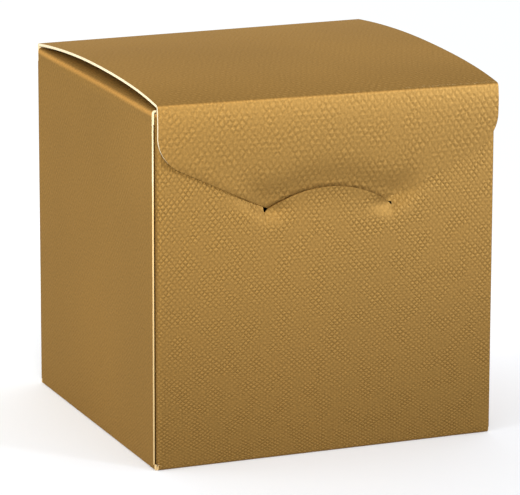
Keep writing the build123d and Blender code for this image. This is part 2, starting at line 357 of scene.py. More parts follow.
board = 0.5  # thickness
cutting = {
    "pointGap": 0.04,  # points on a cut line lie at least this far apart
    "edgeClear": 0.06,  # and the points inside keep this far from it
    "sliver": 0.001,  # smaller triangles are left out
    "weld": 0.001,  # points closer than this are one
}


def makeBoardTree():
    tree = bpy.data.node_groups.new("boardFromCutSheet", "GeometryNodeTree")
    for label, kind in (("Sheet", "Geometry"), ("Board", "Float"), ("Printed side", "Material"),
                        ("Plain side", "Material"), ("Cut edge", "Material")):
        tree.interface.new_socket(label, in_out="INPUT", socket_type="NodeSocket" + kind)
    tree.interface.new_socket("Piece", in_out="OUTPUT", socket_type="NodeSocketGeometry")
    given = addNode(tree, "NodeGroupInput").outputs
    inward = addNode(tree, "ShaderNodeMath", {0: given["Board"], 1: -1.0}, operation="MULTIPLY")
    grown = addNode(
        tree, "GeometryNodeExtrudeMesh",
        {"Mesh": given["Sheet"], "Offset Scale": inward, "Individual": False})
    turned = addNode(tree, "GeometryNodeFlipFaces", {0: grown.outputs["Mesh"]})
    joined = addNode(tree, "GeometryNodeJoinGeometry", {0: given["Sheet"]})
    tree.links.new(turned.outputs[0], joined.inputs[0])
    closed = addNode(
        tree, "GeometryNodeMergeByDistance", {"Geometry": joined, "Distance": cutting["weld"] * mm})
    shaded = addNode(tree, "GeometryNodeSetShadeSmooth", {0: closed})
    crisp = addNode(
        tree, "GeometryNodeSetShadeSmooth",
        {0: shaded, "Selection": grown.outputs["Side"], "Shade Smooth": False}, domain="EDGE")
    result = addNode(tree, "GeometryNodeRealizeInstances", {0: crisp})
    for finish, faces in (("Printed side", None), ("Plain side", "Top"), ("Cut edge", "Side")):
        sockets = {"Geometry": result, "Material": given[finish]}
        if faces:
            sockets["Selection"] = grown.outputs[faces]
        result = addNode(tree, "GeometryNodeSetMaterial", sockets)
    addNode(tree, "NodeGroupOutput", {"Piece": result})
    return tree


boardTree = makeBoardTree()


def loopEdges(loops):
    return [(np.array(a), np.array(b)) for loop in loops for a, b in zip(loop, loop[1:] + loop[:1])]


def splitAtLines(outline, uLines, vLines):
    points = []  # the outline gains a point where a grid line crosses it, so folds stay even to the edge
    for (u0, v0), (u1, v1) in loopEdges([outline]):
        length = math.hypot(u1 - u0, v1 - v0)
        cuts = [0.0]
        for a, b, lines in ((u0, u1, uLines), (v0, v1, vLines)):
            cuts += [(line - a) / (b - a) for line in lines if min(a, b) < line < max(a, b)]
        kept = [0.0]
        for cut in sorted(cuts):
            if min(cut - kept[-1], 1 - cut) * length > cutting["pointGap"]:
                kept.append(cut)
        points += [(u0 + (u1 - u0) * cut, v0 + (v1 - v0) * cut) for cut in kept]
    return points


def insideLoops(points, loops):
    inside = np.zeros(len(points), bool)
    for (u0, v0), (u1, v1) in loopEdges(loops):
        if v0 != v1:
            crosses = (v0 > points[:, 1]) != (v1 > points[:, 1])
            at = u0 + (points[:, 1] - v0) * (u1 - u0) / (v1 - v0)
            inside ^= crosses & (points[:, 0] < at)
    return inside


def clearOf(points, loops, distance):
    clear = np.ones(len(points), bool)
    for start, end in loopEdges(loops):
        run = end - start
        t = np.clip((points - start) @ run / max(run @ run, 1e-12), 0, 1)
        clear &= np.linalg.norm(points - start - t[:, None] * run, axis=1) > distance
    return clear


def cutBoard(name, loops, lines, surface, facing, printed, blankShift=(0, 0), patches=(), thickness=board,
             edge=rawEdge):
    # loops: the outline, then its holes, on the flat blank; lines: a grid that follows the folds;
    # surface: where each point of the blank ends up
    uLines, vLines = (np.unique(np.round(group, 4)) for group in lines)
    loops = [splitAtLines(loop, uLines, vLines) for loop in loops]
    grid = np.array(np.meshgrid(uLines, vLines)).reshape(2, -1).T
    for u0, u1, v0, v1, step in patches:
        grid = grid[~((grid[:, 0] > u0) & (grid[:, 0] < u1) & (grid[:, 1] > v0) & (grid[:, 1] < v1))]
        fine = np.array(np.meshgrid(np.arange(u0, u1, step), np.arange(v0, v1, step))).reshape(2, -1).T
        grid = np.vstack([grid, fine])
    grid = grid[insideLoops(grid, loops)]
    grid = grid[clearOf(grid, loops, cutting["edgeClear"])]
    points, edges = [], []
    for loop in loops:
        first = len(points)
        points += loop
        edges += [(first + i, first + (i + 1) % len(loop)) for i in range(len(loop))]
    flat = [Vector(p) for p in points + grid.tolist()]
    verts, _, faces, *_ = delaunay_2d_cdt(flat, edges, [], 0, 1e-5)
    uv = np.array([tuple(v) for v in verts])
    faces = np.array([f for f in faces if len(f) == 3])
    faces = faces[insideLoops(uv[faces].mean(axis=1), loops)]
    spans = uv[faces[:, 1:]] - uv[faces[:, :1]]
    faces = faces[np.abs(np.linalg.det(spans)) > cutting["sliver"]]
    place = np.stack(surface(uv[:, 0], uv[:, 1]), axis=1) * mm
    a, b, c = (place[faces[:, k]] for k in range(3))
    if (np.cross(b - a, c - a).sum(axis=0) @ np.array(facing)) < 0:
        faces = faces[:, ::-1]
    mesh = bpy.data.meshes.new(name)
    mesh.from_pydata(place.tolist(), [], faces.tolist())
    layer = mesh.uv_layers.new(name="blank")
    layer.data.foreach_set("uv", (uv[faces.ravel()] + np.array(blankShift)).astype(np.float32).ravel())
    piece = addObject(name, mesh)
    grow = piece.modifiers.new("board", "NODES")
    grow.node_group = boardTree
    values = {"Board": thickness * mm, "Printed side": printed, "Plain side": plainSide, "Cut edge": edge}
    for item in boardTree.interface.items_tree:
        if item.name in values:
            grow[item.identifier] = values[item.name]
    ready = piece.evaluated_get(bpy.context.evaluated_depsgraph_get())
    piece.data = bpy.data.meshes.new_from_object(ready)
    piece.modifiers.clear()
    piece.data.name = name
    print(name, len(piece.data.polygons), "faces")
    return piece


def arcLines(start, length, count):
    return start + np.linspace(0, length, count + 1)


def foldLines(start, length, count, first, last, step):  # close in a fold, then wider
    return np.concatenate([arcLines(start, length, count), np.arange(first, last, step)])


def alongFold(v, start, radius, turn):
    # the angle turned so far in a fold, and the length past it
    return np.clip((v - start) / radius, 0, turn), np.maximum(v - start - radius * turn, 0)


def standing(along, outward, run, out, z):
    # a point this far along a wall and this far out from the middle of the box
    return along[0] * run + outward[0] * out, along[1] * run + outward[1] * out, z


def rectangle(u0, u1, v0, v1):
    return [(u0, v0), (u1, v0), (u1, v1), (u0, v1)]


def rounded(corners):
    # a corner is its u and v, and for a round one also its radius and the number of points on its arc
    outline = []
    for k, (u, v, *arc) in enumerate(corners):
        if not arc:
            outline.append((u, v))
            continue
        radius, count = arc
        corner, before, after = (np.array(corners[i][:2], float) for i in (k, k - 1, (k + 1) % len(corners)))
        a = (before - corner) / np.linalg.norm(before - corner)
        b = (after - corner) / np.linalg.norm(after - corner)
        half = math.acos(np.clip(a @ b, -1, 1)) / 2
        centre = corner + (a + b) / np.linalg.norm(a + b) * radius / math.sin(half)
        start = corner + a * radius / math.tan(half) - centre
        end = corner + b * radius / math.tan(half) - centre
        sweep = math.atan2(start[0] * end[1] - start[1] * end[0], start @ end)
        for t in np.linspace(0, sweep, count):
            outline.append((centre[0] + start[0] * math.cos(t) - start[1] * math.sin(t),
                            centre[1] + start[0] * math.sin(t) + start[1] * math.cos(t)))
    return outline


# Standing walls: the sleeve, printed face outward, each with its half of the corner folds

frontTop = nodeBox("front_panel")[1][2]
halfWidth, halfDepth = nodeBox("back_panel")[1][:2]
glueLow, glueHigh = nodeBox("glue_flap")

sleeve = {
    "foldRadius": 0.45,
    "seamRadius": 1.0,  # the fold beside the seam is rounder
    "top": 76.6,  # the side walls go on as the dust flaps from here
    "rearTop": 79.2,  # and the back wall as the lid
    "bottom": 1.2,  # the bottom's pieces start here
    "pillow": 0.18,  # how far a wall swells in its middle
    "grid": 2.0,
    "seamInset": 0.05,  # the fold beside the seam lies this far inside its solid
    "seamGap": 0.17,  # the glue flap swings out by this to meet the left wall
    "seamGapRun": (0.6, 5),  # over this length from the fold
    "seamLip": (0.5, -0.8, 78.9),  # the front wall's end on the seam fold: at the top, and below this height
    "glueTaper": 20.0,  # degrees
    "seamEnd": 36.2,  # the left wall's raw edge stops short of the front corner
    "seamBoard": 0.34,  # and is crushed thinner
}

slit = {
    "centre": 0.8,
    "chordZ": 55.0,
    "halfChord": 15.0,
    "rise": 5.2,
    "tilt": -0.03,  # the cut runs a little downhill to the right
    "gap": 0.1,  # air above the tab's rim
    "arcEnds": (14.4, -13.2),  # the cut is straight from here to its ends
    "heel": 0.3,  # its ends start this far below the chord
    "legX": 15.15,  # half its whole length
    "legTop": (56.9, 55.45),  # left and right ends of the cut; the flap opens the left one
    "bendLow": 52.5,  # the tab starts to lean here
    "bendHigh": 72.0,  # and would lean fully only here, so its rim stays close to the flap
    "lean": 17.0,  # degrees
    "dipMiddle": 1.2,  # how far the flap is pressed in over the cut
    "dipEnd": 1.6,
    "tabFade": (-1, 3.5),  # the tab leaves the dent of the wall over this height
    "rimRoll": 0.2,  # the die draws the printed face over the tab's rim
    "tabBoard": 0.24,
    "tabLines": ((-14.5, 16, 0.75), (52.5, 60, 0.35)),  # grid across and up: from, to, step
    "patch": (-26, 26, 46, 70, 0.6),  # finer grid on the wall round the cut
    "reachUp": 4.2,  # the dent fades over these lengths
    "reachDown": 2.6,
    "reachSide": 5.5,
    "reachIn": 4.0,
    "notch": 1.5,  # the ends of the cut stand open this far
    "notchRun": 4,  # and close up over this length
    "edgeSlope": 0.466,  # of the flap's slanted edge
}
cutX, chordZ, halfChord, tilt, bendLow = (
    slit[key] for key in ("centre", "chordZ", "halfChord", "tilt", "bendLow"))
slitRadius = (halfChord ** 2 + slit["rise"] ** 2) / (2 * slit["rise"])
slitCentre = chordZ + slit["rise"] - slitRadius


def pastEnd(x):  # how far a point lies outside the ends of the cut
    return np.abs(x - cutX) - halfChord


def slitArc(x):
    reach = np.minimum(np.abs(x - cutX), halfChord)
    return slitCentre + np.sqrt(slitRadius ** 2 - reach ** 2)


def tuckDip(x):
    share = np.minimum(np.abs(x - cutX) / halfChord, 1) ** 2
    return slit["dipMiddle"] + (slit["dipEnd"] - slit["dipMiddle"]) * share


def lipLine(x):
    # the flap presses the wall in above this line: over the cut, and along its own slanted edge beside it
    past = pastEnd(x)
    beside = chordZ + slit["notch"] + slit["edgeSlope"] * past
    return np.where(past > 0, beside, slitArc(x) + slit["notch"] * smooth(past, -slit["notchRun"], 0))


def lipDent(x, z):
    # the wall beside and below the ends of the cut, pulled in by the flap
    past = pastEnd(x)
    below = z - tilt * x - chordZ - slit["notch"] - slit["edgeSlope"] * np.maximum(past, 0)
    fade = np.exp(-(past / np.where(past > 0, slit["reachSide"], slit["reachIn"])) ** 2)
    return -slit["dipEnd"] * np.exp(-(np.minimum(below, 0) / slit["reachDown"]) ** 2) * fade


def wallDent(x, z):
    past = np.maximum(pastEnd(x), 0)
    height = z - tilt * x
    above = height - lipLine(x)
    pressed = -tuckDip(x) * np.exp(-(np.maximum(above, 0) / slit["reachUp"]) ** 2)
    outside = ((past > 0) & (above < 0)) | (height < chordZ)
    return np.where(outside, lipDent(x, z), pressed * np.exp(-(past / slit["reachSide"]) ** 2))


def tabDent(x, z):
    above = z - tilt * x - chordZ
    return lipDent(x, z) * (1 - smooth(above, *slit["tabFade"]))


def wallSurface(along, outward, depth, lowEnd, highEnd, lowTurn, highTurn, pillow=0.0, dent=None, tail=0.0,
                lowRadius=sleeve["foldRadius"]):
    # a fold at each end, turned by so many degrees, and a tail that goes straight on past the low one
    radius = sleeve["foldRadius"]
    flatLow = lowEnd + (lowRadius if lowTurn else 0)
    flatHigh = highEnd - (radius if highTurn else 0)
    foldEnd = flatLow - lowRadius * math.radians(lowTurn)

    def surface(u, v):
        low = np.clip((flatLow - u) / lowRadius, 0, math.radians(lowTurn))
        high = np.clip((u - flatHigh) / radius, 0, math.radians(highTurn))
        run = np.clip(u, flatLow, flatHigh) - lowRadius * np.sin(low) + radius * np.sin(high)
        out = depth - lowRadius * (1 - np.cos(low)) - radius * (1 - np.cos(high))
        out = out - np.maximum(foldEnd - u, 0)
        run = run - sleeve["seamGap"] * smooth(foldEnd - u, *sleeve["seamGapRun"])
        across = (u - flatLow) / (flatHigh - flatLow)
        up = np.clip((v - sleeve["bottom"]) / (sleeve["top"] - sleeve["bottom"]), 0, 1)
        out = out + pillow * np.clip(16 * across * (1 - across) * up * (1 - up), 0, 1)
        if dent:
            out = out + dent(u, v)
        return standing(along, outward, run, out, v)

    last = flatHigh + radius * math.radians(highTurn)
    uLines = np.concatenate([
        arcLines(foldEnd - tail, tail, math.ceil(tail)), arcLines(foldEnd, flatLow - foldEnd, 8),
        arcLines(flatHigh, last - flatHigh, 6), np.arange(math.ceil(flatLow), flatHigh, sleeve["grid"])])
    return surface, foldEnd - tail, last, uLines


zLines = np.arange(0, 80, sleeve["grid"])  # up the walls

# front wall with the half-moon hole; its left end folds in behind the left wall
glueWidth = glueHigh[1] - glueLow[1]
surface, first, last, uLines = wallSurface(
    (1, 0), (0, -1), halfDepth, glueLow[0] + sleeve["seamInset"], halfWidth, 90, 45, dent=wallDent,
    tail=glueWidth, lowRadius=sleeve["seamRadius"])
foldTop, foldLip = (first + glueWidth + reach for reach in sleeve["seamLip"][:2])
lipTop = sleeve["seamLip"][2]
taper = glueWidth * math.tan(math.radians(sleeve["glueTaper"]))
frontOutline = [
    (foldLip, sleeve["bottom"]), (last, sleeve["bottom"]), (last, frontTop), (foldTop, frontTop),
    (foldTop, lipTop), (foldLip, lipTop), (foldLip, glueHigh[2]), (first, glueHigh[2] - taper),
    (first, glueLow[2] + taper), (foldLip, glueLow[2])]
heel = chordZ - slit["heel"]
hole = [(-halfChord, bendLow), (halfChord, bendLow), (halfChord, heel), (slit["legX"], chordZ),
        (slit["legX"], slit["legTop"][1])]
hole += [(x, float(slitArc(x + cutX))) for x in np.linspace(*slit["arcEnds"], 26)]
hole += [(-slit["legX"], slit["legTop"][0]), (-slit["legX"], chordZ), (-halfChord, heel)]
hole = [(x + cutX, z + tilt * (x + cutX)) for x, z in hole]
frontWall = cutBoard(
    "front_wall", [frontOutline, hole], (uLines, zLines), surface,
    (0, -1, 0), goldFront, patches=[slit["patch"]])
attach(frontWall, "sleeve")
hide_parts("front_panel", "glue_flap")

# side and back walls, in their order on the blank, so that the grain runs on round the corners
sideEnds = {"ends": (-halfDepth, halfDepth), "turns": (45, 45), "heights": (sleeve["bottom"], sleeve["top"])}
walls = {
    "right": {"along": (0, 1), "outward": (1, 0), "depth": halfWidth, "board": board, **sideEnds},
    "back": {"along": (-1, 0), "outward": (0, 1), "depth": halfDepth, "board": board,
             "ends": (-halfWidth, halfWidth), "turns": (45, 45), "heights": (0, sleeve["rearTop"])},
    "left": {"along": (0, -1), "outward": (-1, 0), "depth": halfWidth, "board": sleeve["seamBoard"],
             **sideEnds, "ends": (-halfDepth, sleeve["seamEnd"]), "turns": (45, 0)},
}
panelPitch = halfWidth + halfDepth  # from the middle of one wall to the next on the blank
for count, (side, wall) in enumerate(walls.items(), 1):
    surface, first, last, uLines = wallSurface(
        wall["along"], wall["outward"], wall["depth"], *wall["ends"], *wall["turns"], sleeve["pillow"])
    piece = cutBoard(
        side + "_wall", [rectangle(first, last, *wall["heights"])], (uLines, zLines), surface,
        (*wall["outward"], 0), goldSide, (count * panelPitch, 0), thickness=wall["board"])
    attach(piece, "sleeve")
    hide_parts(side + "_panel")


# Half-moon tab: leans out, and its lower part bends with the wall

tabAxis = (-halfDepth + board / 2, chordZ)


def tabSurface(u, v):
    share = smooth(v, bendLow, slit["bendHigh"])
    lean = math.radians(slit["lean"])
    roll = np.clip((v - slitArc(u)) / slit["rimRoll"] + 1, 0, 1)
    z = v + tilt * u
    y = -halfDepth - tabDent(u, z) + slit["rimRoll"] * roll ** 3
    dy, dz = y - tabAxis[0], z - tabAxis[1]
    leanY = dy * math.cos(lean) - dz * math.sin(lean)
    leanZ = dz * math.cos(lean) + dy * math.sin(lean)
    return u, y + (leanY - dy) * share, z + (leanZ - dz) * share


tabX = np.linspace(halfChord, -halfChord, 41)[1:-1]
tabOutline = [(-halfChord, bendLow), (halfChord, bendLow), (halfChord, heel)]
tabOutline += [(x, float(slitArc(x + cutX)) - slit["gap"]) for x in tabX]
tabOutline += [(-halfChord, heel)]
tabOutline = [(x + cutX, z) for x, z in tabOutline]
tab = cutBoard(
    "moon_tab", [tabOutline], [np.arange(*span) for span in slit["tabLines"]], tabSurface,
    (0, -1, 0), goldFront, thickness=slit["tabBoard"], edge=goldFront)
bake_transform(tab)
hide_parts("half_moon_tab")


# Lid: bowed, a little twisted, folded over the top of the back wall

lid = {
    "halfWidth": 39.9,
    "foldRadius": 0.6,
    "rear": 37.25,
    "front": -39.4,
    "creaseZ": 80.65,  # printed face over both creases
    "bow": 2.2,
    "fullFront": 0.4,  # the bow carries further forward than an even arc
    "twist": (0.6, 0.55),  # left end of the front crease up by this, right end down
    "twistLead": 0.35,  # the twist grows faster near the rear
    "end": -38.35,  # the closing flap's fold starts here
    "board": 0.58,  # its cut edge is swollen
    "grid": 1.6,
}


def lidHeight(x, y):
    t = (lid["rear"] - y) / (lid["rear"] - lid["front"])
    even = 4 * t * (1 - t)
    full = np.where(t > 0.5, even + lid["fullFront"] * (1 - (2 * t - 1) ** 4 - even), even)
    twist = np.where(x < 0, lid["twist"][0], lid["twist"][1])
    twisted = twist * x / halfWidth * t * (1 + lid["twistLead"] * (1 - t))
    return lid["creaseZ"] + lid["bow"] * full - twisted


lidTurn = math.pi / 2 - math.atan(4 * lid["bow"] / (lid["rear"] - lid["front"]))
lidFoldY = halfDepth - lid["foldRadius"]
lidTopY = lidFoldY + lid["foldRadius"] * math.cos(lidTurn)
lidFoldZ = float(lidHeight(0, lidTopY)) - lid["foldRadius"] * math.sin(lidTurn)
lidRise = lidFoldZ - sleeve["rearTop"]
lidArc = lid["foldRadius"] * lidTurn
lidLength = lidRise + lidArc + lidTopY - lid["end"]


def lidSurface(u, v):
    angle, onward = alongFold(v, lidRise, lid["foldRadius"], lidTurn)
    y = lidFoldY + lid["foldRadius"] * np.cos(angle) - onward
    z = lidFoldZ - np.maximum(lidRise - v, 0) + lid["foldRadius"] * np.sin(angle)
    return u, y, np.where(onward > 0, lidHeight(u, y), z)


acrossLines = np.arange(-38, 39, sleeve["grid"])  # for the lid and the bottom
lidLines = foldLines(lidRise, lidArc, 8, lidRise + lidArc, lidLength, lid["grid"])
lidPiece = cutBoard(
    "lid", [rectangle(-lid["halfWidth"], lid["halfWidth"], 0, lidLength)],
    (acrossLines, lidLines), lidSurface, (0, 0, 1), goldSide, (2 * panelPitch, sleeve["rearTop"]),
    thickness=lid["board"])
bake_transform(lidPiece)
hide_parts("lid_panel")


# Closing flap: folded from the lid, bulging, then lying on the wall and tucked behind the tab

flap = {
    "halfWidth": 39.9,
    "foldRadius": 0.8,
    "bulge": 2.2,  # how far it stands off the wall
    "bulgeZ": 76.5,
    "settleZ": 56.0,  # it lies on the wall from here down
    "topZ": 80.08,  # its fold ends here
    "rest": 0.55,  # where it lies on the wall
    "wing": 0.25,  # how much further the wings stand off than the tongue
    "wingSpan": (10, 36),
    "curve": 0.0229,  # of the bulge above bulgeZ
    "shoulderZ": 67.9,
    "slant": 25.0,  # degrees
    "cornerRadius": 8.8,
    "tipRadius": 20.0,
    "tuckSlope": 0.36,  # how steeply the tongue goes in behind the tab
    "sideReach": 4.2,  # its dip over the cut fades over this length beside it
    "curl": 0.0007,  # the right shoulder sits higher than the left one
    "grid": (1.5, 1.2),
    "patch": ((-24, 24), (68, 50), 0.7),  # finer grid over the cut: across, heights, step
}
flapTopZ = flap["topZ"]
flapTopOut = flap["bulge"] - flap["curve"] * (flapTopZ - flap["bulgeZ"]) ** 2
flapTurnEnd = math.pi / 2 - math.atan(2 * flap["curve"] * (flapTopZ - flap["bulgeZ"]))
slopeRun = 0.5  # the lid's slope is taken over this length at its end
lidEndRise = float(lidHeight(0, lid["end"] + slopeRun) - lidHeight(0, lid["end"]))
flapTurnStart = math.atan(lidEndRise / slopeRun)
flapArcOut = flapTopOut - flap["foldRadius"] * (math.sin(flapTurnEnd) - math.sin(flapTurnStart))
flapArcZ = flapTopZ + flap["foldRadius"] * (math.cos(flapTurnStart) - math.cos(flapTurnEnd))
flapLead = flapArcOut + halfDepth + lid["end"]
flapArc = flap["foldRadius"] * (flapTurnEnd - flapTurnStart)
flapDown = flapLead + flapArc
flapStartZ = float(lidHeight(0, lid["end"]))


def flapOut(x, z):
    high = flap["bulge"] - flap["curve"] * (z - flap["bulgeZ"]) ** 2
    rest = flap["rest"] + flap["wing"] * smooth(np.abs(x), *flap["wingSpan"])
    low = rest + (flap["bulge"] - rest) * smooth(z, flap["settleZ"], flap["bulgeZ"])
    out = np.where(z > flap["bulgeZ"], high, low)
    level = z - lipLine(x)
    past = np.maximum(pastEnd(x), 0)
    side = np.exp(-(past / flap["sideReach"]) ** 2)
    press = np.where(level > 0, np.exp(-(level / slit["reachUp"]) ** 2), 1)
    return out - tuckDip(x) * side * press - flap["tuckSlope"] * np.maximum(-level, 0)


def flapSurface(u, v):
    lead = np.clip(v, 0, flapLead)
    turn, down = alongFold(v, flapLead, flap["foldRadius"], flapTurnEnd - flapTurnStart)
    turn = turn + flapTurnStart
    flatZ = flapTopZ - down
    out = -halfDepth - lid["end"] + lead + flap["foldRadius"] * (np.sin(turn) - math.sin(flapTurnStart))
    z = flapArcZ + (flapStartZ - flapArcZ) * (1 - lead / flapLead)
    z = z - flap["foldRadius"] * (math.cos(flapTurnStart) - np.cos(turn)) - down
    out = np.where(down > 0, flapOut(u, flatZ), out)
    lower = smooth(-flatZ, -flapTopZ, -flap["shoulderZ"])
    top = -np.where(u < 0, lid["twist"][0], lid["twist"][1]) * u / halfWidth
    foot = tilt * u + flap["curl"] * np.maximum(u, 0) ** 2
    return u, -halfDepth - out, z + top + (foot - top) * lower


def flapV(z):  # how far down its sheet a height on the wall lies
    return flapDown + flapTopZ - z


flapHalf = flap["halfWidth"]
flapTip = flapV(flap["shoulderZ"] - flapHalf * math.tan(math.radians(flap["slant"])))
shoulder = (flapV(flap["shoulderZ"]), flap["cornerRadius"], 14)
flapOutline = rounded([(-flapHalf, 0), (flapHalf, 0), (flapHalf, *shoulder),
                       (0, flapTip, flap["tipRadius"], 12), (-flapHalf, *shoulder)])
flapLines = foldLines(flapLead, flapArc, 8, flapDown + 1, flapTip, flap["grid"][1])
across, heights, step = flap["patch"]
flapPiece = cutBoard(
    "closing_flap_card", [flapOutline], (np.arange(-39, 40, flap["grid"][0]), flapLines), flapSurface,
    (0, -1, 0), goldFront, (2 * panelPitch, sleeve["rearTop"] + lidLength),
    patches=[(*across, *map(flapV, heights), step)])
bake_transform(flapPiece)
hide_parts("closing_flap")


# Dust flaps under the lid, printed side up, folded in from the tops of the side walls

dust = {
    "foldRadius": (0.7, 2.9),  # tight at its ends, an open roll in its middle
    "top": 79.7,
    "droop": 1.5,  # degrees
    "sag": 0.006,  # and curves down further from there
    "base": 80.0,  # blank height that its length is counted from
    "length": 32.0,
    "foldRun": (-36.8, 36.2),  # rear and front ends of the fold
    "flapRun": (-34.6, 34.6),
    "shoulder": (0.7, 1.3),  # the flap narrows between these heights above its base
    "tapers": (45.0, 10.0),  # degrees, at the rear and at the front
    "cornerRadius": 4.0,
    "lines": ((76.7, 83, 0.45), (84, 112, 2)),  # grid up the flap: from, to, step
}
sides = {  # grain: where the upper and the lower flap lie on the grain
    "left": {"along": (0, -1), "outward": (-1, 0), "mirror": 1, "grain": (500, 1100)},
    "right": {"along": (0, 1), "outward": (1, 0), "mirror": -1, "grain": (700, 1300)},
}


def dustSurface(along, outward):
    tight, wide = dust["foldRadius"]
    droop = math.radians(dust["droop"])

    def surface(u, v):
        radius = wide - (wide - tight) * np.minimum(np.abs(u) / dust["foldRun"][1], 1) ** 2
        arcZ = dust["top"] - radius
        angle, onward = alongFold(v, arcZ, radius, math.pi / 2 + droop)
        out = halfWidth - radius + radius * np.cos(angle) - onward * math.cos(droop)
        z = np.minimum(v, arcZ) + radius * np.sin(angle) - onward * math.sin(droop)
        z = z - dust["sag"] / 2 * onward ** 2
        return standing(along, outward, u, out, z)

    return surface


def dustOutline(look, start, base, mirror):
    # drawn for the left flap and mirrored for the right one
    rear, front = look["foldRun"]
    low, high = look["flapRun"]
    neck, shoulder = (base + rise for rise in look["shoulder"])
    far = base + look["length"]
    lowTaper, highTaper = (look["length"] * math.tan(math.radians(taper)) for taper in look["tapers"])
    outline = rounded([
        (rear, start), (front, start), (front, neck), (high, shoulder),
        (high - highTaper, far, look["cornerRadius"], 8), (low + lowTaper, far, look["cornerRadius"], 8),
        (low, shoulder), (rear, neck)])
    return [(mirror * u, v) for u, v in outline]


dustLines = np.arange(-36, 37, sleeve["grid"])  # along the folds of all four dust flaps
for side, way in sides.items():
    outward = way["outward"]
    outline = dustOutline(dust, sleeve["top"], dust["base"], way["mirror"])
    piece = cutBoard(
        side + "_dust_flap_card", [outline],
        (dustLines, np.concatenate([np.arange(*span) for span in dust["lines"]])),
        dustSurface(way["along"], outward), (0, 0, 1), goldSide, (way["grain"][0], 0))
    body = side + "_dust_flap"
    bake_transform(piece)
    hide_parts(body)


# Bottom: panel folded back from the front wall, tuck flap inside the back wall, two dust flaps above it

bottom = {
    "halfWidth": 38.95,
    "foldRadius": 0.6,
    "rearFold": 36.25,
    "tuckLean": 12.0,  # degrees
    "tuckHeight": 13.0,
    "tuckHalfWidth": 38.7,
    "tuckRadius": 8.0,
    "tuckGrain": 900,  # where the tuck flap lies on the grain
    "foldLeft": -39.3,
    "foldRight": 39.7,
    "narrowAt": 2.4,  # past its fold it narrows to fit between the walls
    "narrowRun": 0.8,
}
bottomArc = bottom["foldRadius"] * math.pi / 2
bottomDrop = sleeve["bottom"] - bottom["foldRadius"]
bottomLength = bottomDrop + bottomArc + halfDepth - bottom["foldRadius"] + bottom["rearFold"]


def bottomSurface(u, v):
    radius = bottom["foldRadius"]
    angle, onward = alongFold(v, bottomDrop, radius, math.pi / 2)
    y = -halfDepth + radius - radius * np.cos(angle) + onward
    z = np.maximum(sleeve["bottom"] - v, radius) - radius * np.sin(angle)
    return u, y, z


narrowEnd = bottom["narrowAt"] + bottom["narrowRun"]
bottomOutline = [
    (bottom["foldLeft"], 0), (bottom["foldRight"], 0), (bottom["foldRight"], bottom["narrowAt"]),
    (bottom["halfWidth"], narrowEnd), (bottom["halfWidth"], bottomLength),
    (-bottom["halfWidth"], bottomLength), (-bottom["halfWidth"], narrowEnd),
    (bottom["foldLeft"], bottom["narrowAt"])]
bottomPiece = cutBoard(
    "bottom_card", [bottomOutline],
    (acrossLines, foldLines(bottomDrop, bottomArc, 6, 2, bottomLength, sleeve["grid"])),
    bottomSurface, (0, 0, -1), goldFront)
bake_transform(bottomPiece)
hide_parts("bottom_panel")

tuckTurn = math.radians(90 + bottom["tuckLean"])
tuckArc = bottom["foldRadius"] * tuckTurn


def tuckSurface(u, v):
    radius = bottom["foldRadius"]
    angle, onward = alongFold(v, 0, radius, tuckTurn)
    lean = math.radians(bottom["tuckLean"])
    y = bottom["rearFold"] + radius * np.sin(angle) - onward * math.sin(lean)
    z = radius * (1 - np.cos(angle)) + onward * math.cos(lean)
    return u, y, z


tuckTop = bottom["tuckHeight"] + tuckArc
tuckHalf = bottom["tuckHalfWidth"]
tuckCorner = (tuckTop, bottom["tuckRadius"], 10)
tuckOutline = rounded([(-tuckHalf, 0), (tuckHalf, 0), (tuckHalf, *tuckCorner), (-tuckHalf, *tuckCorner)])
tuckPiece = cutBoard(
    "bottom_tuck_card", [tuckOutline],
    (acrossLines, foldLines(0, tuckArc, 8, 2, tuckTop, sleeve["grid"])),
    tuckSurface, (0, 1, 0), goldSide, (bottom["tuckGrain"], -bottomLength))
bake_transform(tuckPiece)
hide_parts("bottom_tuck_flap")

bottomDust = {
    "beadRadius": 0.45,
    "beadZ": 0.47,  # centre of the bead, which hangs beside the bottom panel's edge
    "beadTurn": 135.0,  # degrees
    "climb": 0.5,  # straight up out of the bead
    "settleRadius": 0.5,  # then back to nearly level
    "rise": 3.0,  # degrees
    "length": 30.0,
    "foldRun": (-36.6, 37.0),
    "flapRun": (-33.0, 34.3),
    "shoulder": (-0.4, 0.6),
    "tapers": (10.0, 45.0),
    "cornerRadius": 4.0,
}


def bottomDustSurface(along, outward):
    look = bottomDust
    bead = math.radians(look["beadTurn"])
    beadRun = look["beadRadius"] * bead
    rise = math.radians(look["rise"])
    back = bead - math.pi / 2 - rise
    settleRun = look["settleRadius"] * back
    drop = sleeve["bottom"] - look["beadZ"]
    climbStart = drop + beadRun
    settleStart = climbStart + look["climb"]

    def surface(u, v):
        angle = np.clip((v - drop) / look["beadRadius"], 0, bead)
        climb = np.clip(v - climbStart, 0, look["climb"])
        settle, onward = alongFold(v, settleStart, look["settleRadius"], back)
        heading = bead - settle
        out = halfWidth - look["beadRadius"] * (1 - np.cos(angle)) - climb * math.sin(bead)
        out = out - look["settleRadius"] * (np.cos(heading) - math.cos(bead)) - onward * math.cos(rise)
        z = np.maximum(sleeve["bottom"] - v, look["beadZ"]) - look["beadRadius"] * np.sin(angle)
        z = z - climb * math.cos(bead) + look["settleRadius"] * (np.sin(heading) - math.sin(bead))
        return standing(along, outward, u, out, z + onward * math.sin(rise))

    folds = np.concatenate([
        arcLines(drop, beadRun, 10), arcLines(climbStart, look["climb"], 2),
        arcLines(settleStart, settleRun, 4)])
    return surface, folds


